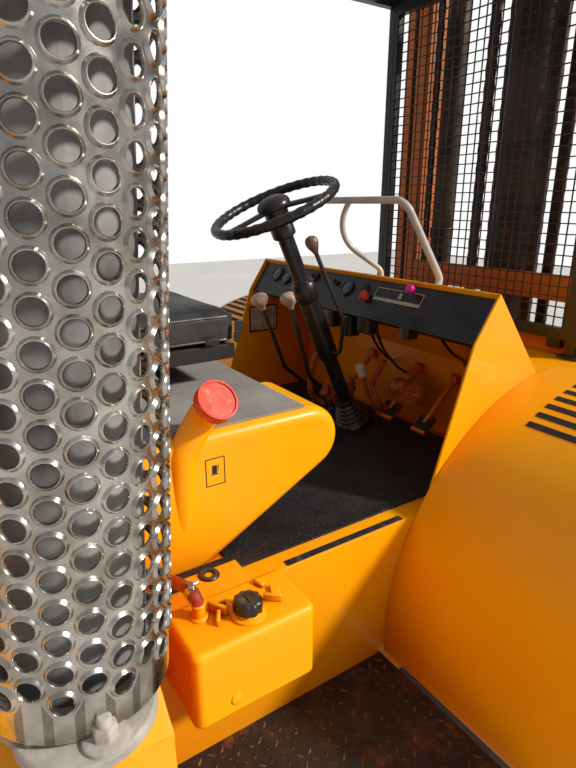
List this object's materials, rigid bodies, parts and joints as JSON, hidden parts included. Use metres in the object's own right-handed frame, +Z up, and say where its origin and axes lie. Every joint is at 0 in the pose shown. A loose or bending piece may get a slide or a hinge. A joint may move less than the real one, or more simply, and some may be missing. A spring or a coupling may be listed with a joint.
{
  "type": "forklift truck",
  "caption": "Counterbalanced forklift truck with twin front wheels, a telescopic mast with forks, a driver's guard with a mesh screen, and steered rear wheels.",
  "frame": {"origin": "on the ground, at the middle of the bounding box in x and y", "axes": "+X to the truck's right, +Y forward towards the fork tips, +Z up"},
  "size_m": [2.34, 5.22, 2.75],
  "materials": {
    "truck_yellow": "aged satin paint",
    "tank_yellow": "aged satin paint, scuffed",
    "mast_orange": "aged satin paint",
    "frame_dark": "satin black paint, dusty",
    "screen_black": "satin black wire",
    "dash_black": "grained",
    "wheel_black": "worn smooth grip",
    "lever_dark": "worn dark rods with knobs",
    "pedal_rusty": "worn to rust",
    "handle_grey": "light grey paint, scuffed",
    "mat_black": "ribbed, dusty",
    "mat_grey": "worn",
    "cap_red": "scuffed",
    "seat_vinyl": "soft black vinyl",
    "seat_frame": "yellow and black sheet metal",
    "engine_grey": "oily",
    "weight_yellow": "painted casting",
    "tyre_rubber": "worn tread",
    "rim_paint": "off-white paint, dusty",
    "jack_dark": "dark brown paint, oily",
    "rod_chrome": "plated",
    "chain_steel": "greased",
    "fork_steel": "worn black paint",
    "stack_steel": "stainless sheet",
    "silencer_steel": "heat-stained",
    "flange_cast": "whitish casting",
    "reservoir_paint": "brush-painted",
    "cap_black": "ribbed",
    "lamp_body": "grained",
    "lamp_red": "ribbed lens"
  },
  "bodies": {
    "chassis": {"chassis_frame": "truck_yellow", "drive_axle": "frame_dark", "steer_axle": "frame_dark", "floor_mat": "mat_black", "cowl": "truck_yellow", "dash_panel": "dash_black", "steering_column": "frame_dark", "control_levers": "lever_dark", "pedals": "pedal_rusty", "grab_handle": "handle_grey", "fuel_tank": "tank_yellow", "fuel_cap": "cap_red", "tank_mat": "mat_grey", "engine_block": "engine_grey", "counterweight": "weight_yellow", "radiator_grille": "frame_dark", "tow_pin": "frame_dark", "overhead_guard": "frame_dark", "front_screen": "screen_black", "fenders": "truck_yellow", "steps": "frame_dark", "side_bodies": "truck_yellow", "stack_foot": "flange_cast", "silencer": "silencer_steel", "stack_guard": "stack_steel", "reservoir": "reservoir_paint", "reservoir_cap": "cap_black", "headlamps": "lamp_body", "tail_lamps": "lamp_red"},
    "steering_wheel": {"steering_wheel": "wheel_black"},
    "hood": {"hood": "truck_yellow", "hood_mat": "mat_grey", "seat_base": "seat_frame", "seat_cushion": "seat_vinyl", "seat_back": "seat_vinyl"},
    "mast_outer": {"mast_outer": "mast_orange", "side_jacks": "jack_dark", "centre_jack": "jack_dark"},
    "mast_inner": {"mast_inner": "mast_orange", "side_rods": "rod_chrome", "side_chains": "chain_steel", "crosshead": "rod_chrome", "lift_chains": "chain_steel"},
    "carriage": {"carriage": "fork_steel", "forks": "fork_steel"},
    "front_wheel_right": {"front_tyres_right": "tyre_rubber", "front_rims_right": "rim_paint"},
    "rear_wheel_right": {"rear_tyre_right": "tyre_rubber", "rear_rim_right": "rim_paint"},
    "knuckle_right": {"knuckle_right": "frame_dark"},
    "tilt_barrel_right": {"tilt_barrel_right": "jack_dark"},
    "tilt_rod_right": {"tilt_rod_right": "rod_chrome"},
    "front_wheel_left": {"front_tyres_left": "tyre_rubber", "front_rims_left": "rim_paint"},
    "rear_wheel_left": {"rear_tyre_left": "tyre_rubber", "rear_rim_left": "rim_paint"},
    "knuckle_left": {"knuckle_left": "frame_dark"},
    "tilt_barrel_left": {"tilt_barrel_left": "jack_dark"},
    "tilt_rod_left": {"tilt_rod_left": "rod_chrome"}
  },
  "joints": [
    {"name": "front_wheel_spin_right", "type": "hinge", "parent": "chassis", "child": "front_wheel_right", "pos_m": [0.89, 0.62, 0.52], "axis": [1, 0, 0], "continuous": true},
    {"name": "front_wheel_spin_left", "type": "hinge", "parent": "chassis", "child": "front_wheel_left", "pos_m": [-0.89, 0.62, 0.52], "axis": [1, 0, 0], "continuous": true},
    {"name": "steer_left", "type": "hinge", "parent": "chassis", "child": "knuckle_left", "pos_m": [-0.77, -1.88, 0.48], "axis": [0, 0, 1], "range_deg": [-55, 55]},
    {"name": "steer_right", "type": "hinge", "parent": "chassis", "child": "knuckle_right", "pos_m": [0.77, -1.88, 0.48], "axis": [0, 0, 1], "range_deg": [-55, 55]},
    {"name": "rear_wheel_spin_right", "type": "hinge", "parent": "knuckle_right", "child": "rear_wheel_right", "pos_m": [0.91, -1.88, 0.48], "axis": [1, 0, 0], "continuous": true},
    {"name": "rear_wheel_spin_left", "type": "hinge", "parent": "knuckle_left", "child": "rear_wheel_left", "pos_m": [-0.91, -1.88, 0.48], "axis": [1, 0, 0], "continuous": true},
    {"name": "steering_wheel_turn", "type": "hinge", "parent": "chassis", "child": "steering_wheel", "pos_m": [0, -0.03, 1.65], "axis": [0, -0.4067, 0.9135], "range_deg": [-900, 900]},
    {"name": "hood_tilt", "type": "hinge", "parent": "chassis", "child": "hood", "pos_m": [0, -1.412, 1.192], "axis": [1, 0, 0], "range_deg": [0, 45]},
    {"name": "mast_tilt", "type": "hinge", "parent": "chassis", "child": "mast_outer", "pos_m": [0, 1.005, 0.52], "axis": [1, 0, 0], "range_deg": [-6, 4]},
    {"name": "tilt_jack_swing_right", "type": "hinge", "parent": "chassis", "child": "tilt_barrel_right", "pos_m": [0.33, 0.29, 0.76], "axis": [1, 0, 0], "range_deg": [-0.3, 0.3]},
    {"name": "tilt_jack_stroke_right", "type": "slide", "parent": "tilt_barrel_right", "child": "tilt_rod_right", "axis": [0, 0.9991, 0.0414], "range_m": [-0.025, 0.035]},
    {"name": "tilt_jack_swing_left", "type": "hinge", "parent": "chassis", "child": "tilt_barrel_left", "pos_m": [-0.33, 0.29, 0.76], "axis": [1, 0, 0], "range_deg": [-0.3, 0.3]},
    {"name": "tilt_jack_stroke_left", "type": "slide", "parent": "tilt_barrel_left", "child": "tilt_rod_left", "axis": [0, 0.9991, 0.0414], "range_m": [-0.025, 0.035]},
    {"name": "mast_lift", "type": "slide", "parent": "mast_outer", "child": "mast_inner", "axis": [0, 0, 1], "range_m": [0, 1.5]},
    {"name": "carriage_lift", "type": "slide", "parent": "mast_inner", "child": "carriage", "axis": [0, 0, 1], "range_m": [0, 1.5]}
  ],
  "couplings": [
    {"joint": "steer_right", "follows": "steer_left", "ratio": 1},
    {"joint": "steering_wheel_turn", "follows": "steer_left", "ratio": -16},
    {"joint": "carriage_lift", "follows": "mast_lift", "ratio": 1},
    {"joint": "tilt_jack_swing_right", "follows": "mast_tilt", "ratio": 0.035},
    {"joint": "tilt_jack_stroke_right", "follows": "mast_tilt", "m_per_rad": -0.2687},
    {"joint": "tilt_jack_swing_left", "follows": "mast_tilt", "ratio": 0.035},
    {"joint": "tilt_jack_stroke_left", "follows": "mast_tilt", "m_per_rad": -0.2687}
  ]
}
